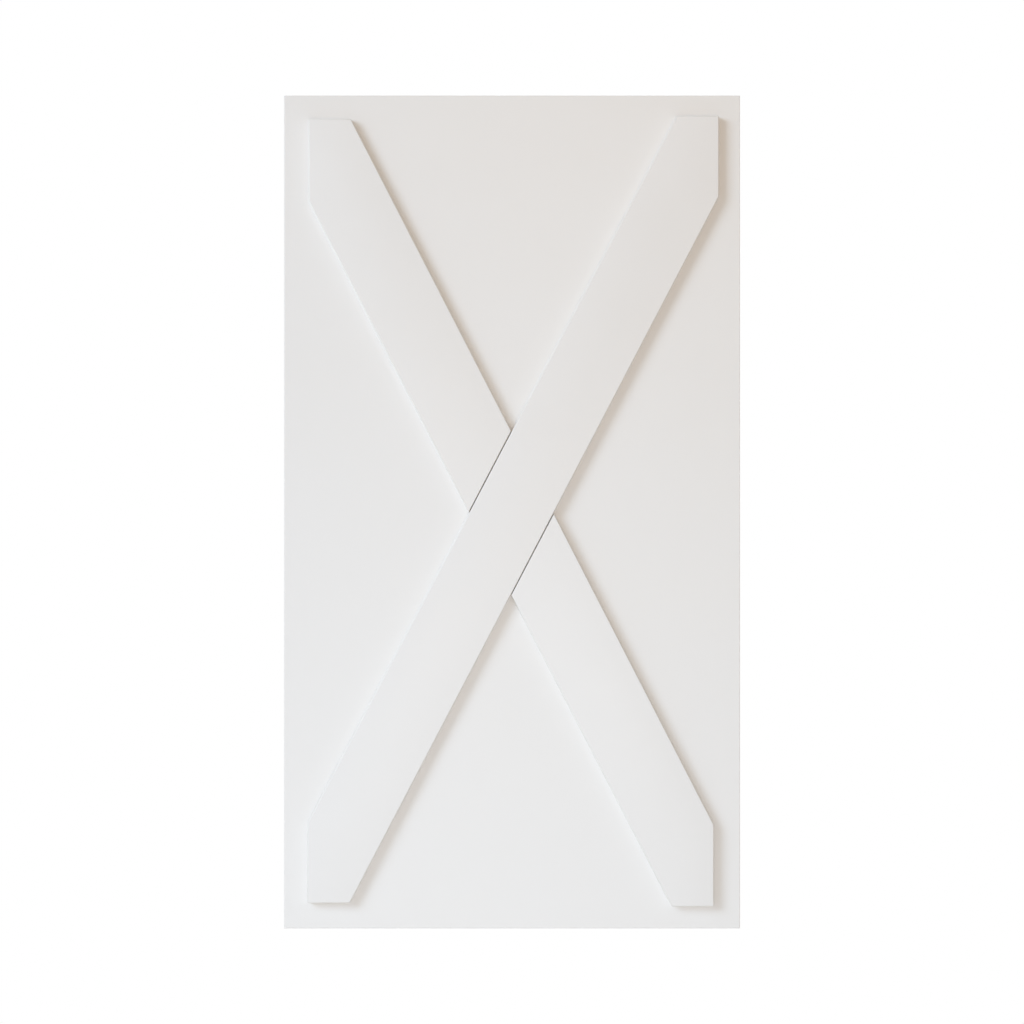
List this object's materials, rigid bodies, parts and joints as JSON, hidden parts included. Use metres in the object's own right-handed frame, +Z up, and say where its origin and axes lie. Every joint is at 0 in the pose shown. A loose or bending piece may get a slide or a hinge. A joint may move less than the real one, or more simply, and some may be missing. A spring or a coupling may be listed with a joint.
{
  "type": "cupboard door",
  "caption": "White painted overlay cupboard door with a planked cross on its front, hung on single-pivot cup hinges behind.",
  "frame": {"origin": "on the seat of the middle hinge plate, midway between its two screw holes", "axes": "+Z up, +X from the hinge edge towards the free edge, -Y out of the front of the door; the plates seat against a cupboard side that lies on the -X side"},
  "size_m": [0.6, 0.0995, 1.096],
  "materials": {
    "white_paint": "white satin paint on smooth board",
    "nickel_plate": "nickel plated pressed steel",
    "zinc_plate": "bright zinc plated screws",
    "bright_steel": "ground steel pin"
  },
  "bodies": {
    "hinge_arms": {"top_arm": "nickel_plate", "top_plate": "nickel_plate", "top_clamp_screw": "zinc_plate", "top_side_adjuster": "zinc_plate", "middle_arm": "nickel_plate", "middle_plate": "nickel_plate", "middle_clamp_screw": "zinc_plate", "middle_side_adjuster": "zinc_plate", "bottom_arm": "nickel_plate", "bottom_plate": "nickel_plate", "bottom_clamp_screw": "zinc_plate", "bottom_side_adjuster": "zinc_plate"},
    "leaf": {"leaf_panel": "white_paint", "long_plank": "white_paint", "upper_short_plank": "white_paint", "lower_short_plank": "white_paint", "plank_screws": "zinc_plate", "top_cup": "nickel_plate", "top_cup_screws": "zinc_plate", "top_pivot_pin": "bright_steel", "middle_cup": "nickel_plate", "middle_cup_screws": "zinc_plate", "middle_pivot_pin": "bright_steel", "bottom_cup": "nickel_plate", "bottom_cup_screws": "zinc_plate", "bottom_pivot_pin": "bright_steel"}
  },
  "joints": [
    {"name": "door_swing", "type": "hinge", "parent": "hinge_arms", "child": "leaf", "pos_m": [-0.00687, -0.05065, 0], "axis": [0, 0, -1], "range_deg": [0, 105]}
  ]
}
